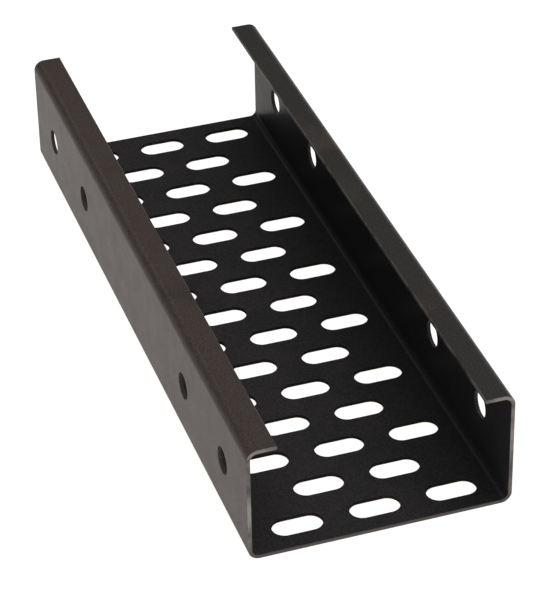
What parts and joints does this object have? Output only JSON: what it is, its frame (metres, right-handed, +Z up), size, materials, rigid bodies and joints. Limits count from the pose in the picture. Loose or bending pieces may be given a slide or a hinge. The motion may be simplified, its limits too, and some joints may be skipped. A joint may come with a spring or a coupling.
{
  "type": "cable tray",
  "caption": "Perforated cable tray length: one folded steel channel with inward return lips, cross slots through the floor and paired bolt holes in both walls.",
  "frame": {"origin": "middle of the tray's underside, at the centre of its footprint", "axes": "+Y along the tray's length, +X across its width, +Z up out of the open mouth"},
  "size_m": [0.105, 0.305, 0.05],
  "materials": {
    "powder_coat": "satin"
  },
  "bodies": {
    "root": {"tray_channel": "powder_coat"}
  },
  "joints": []
}
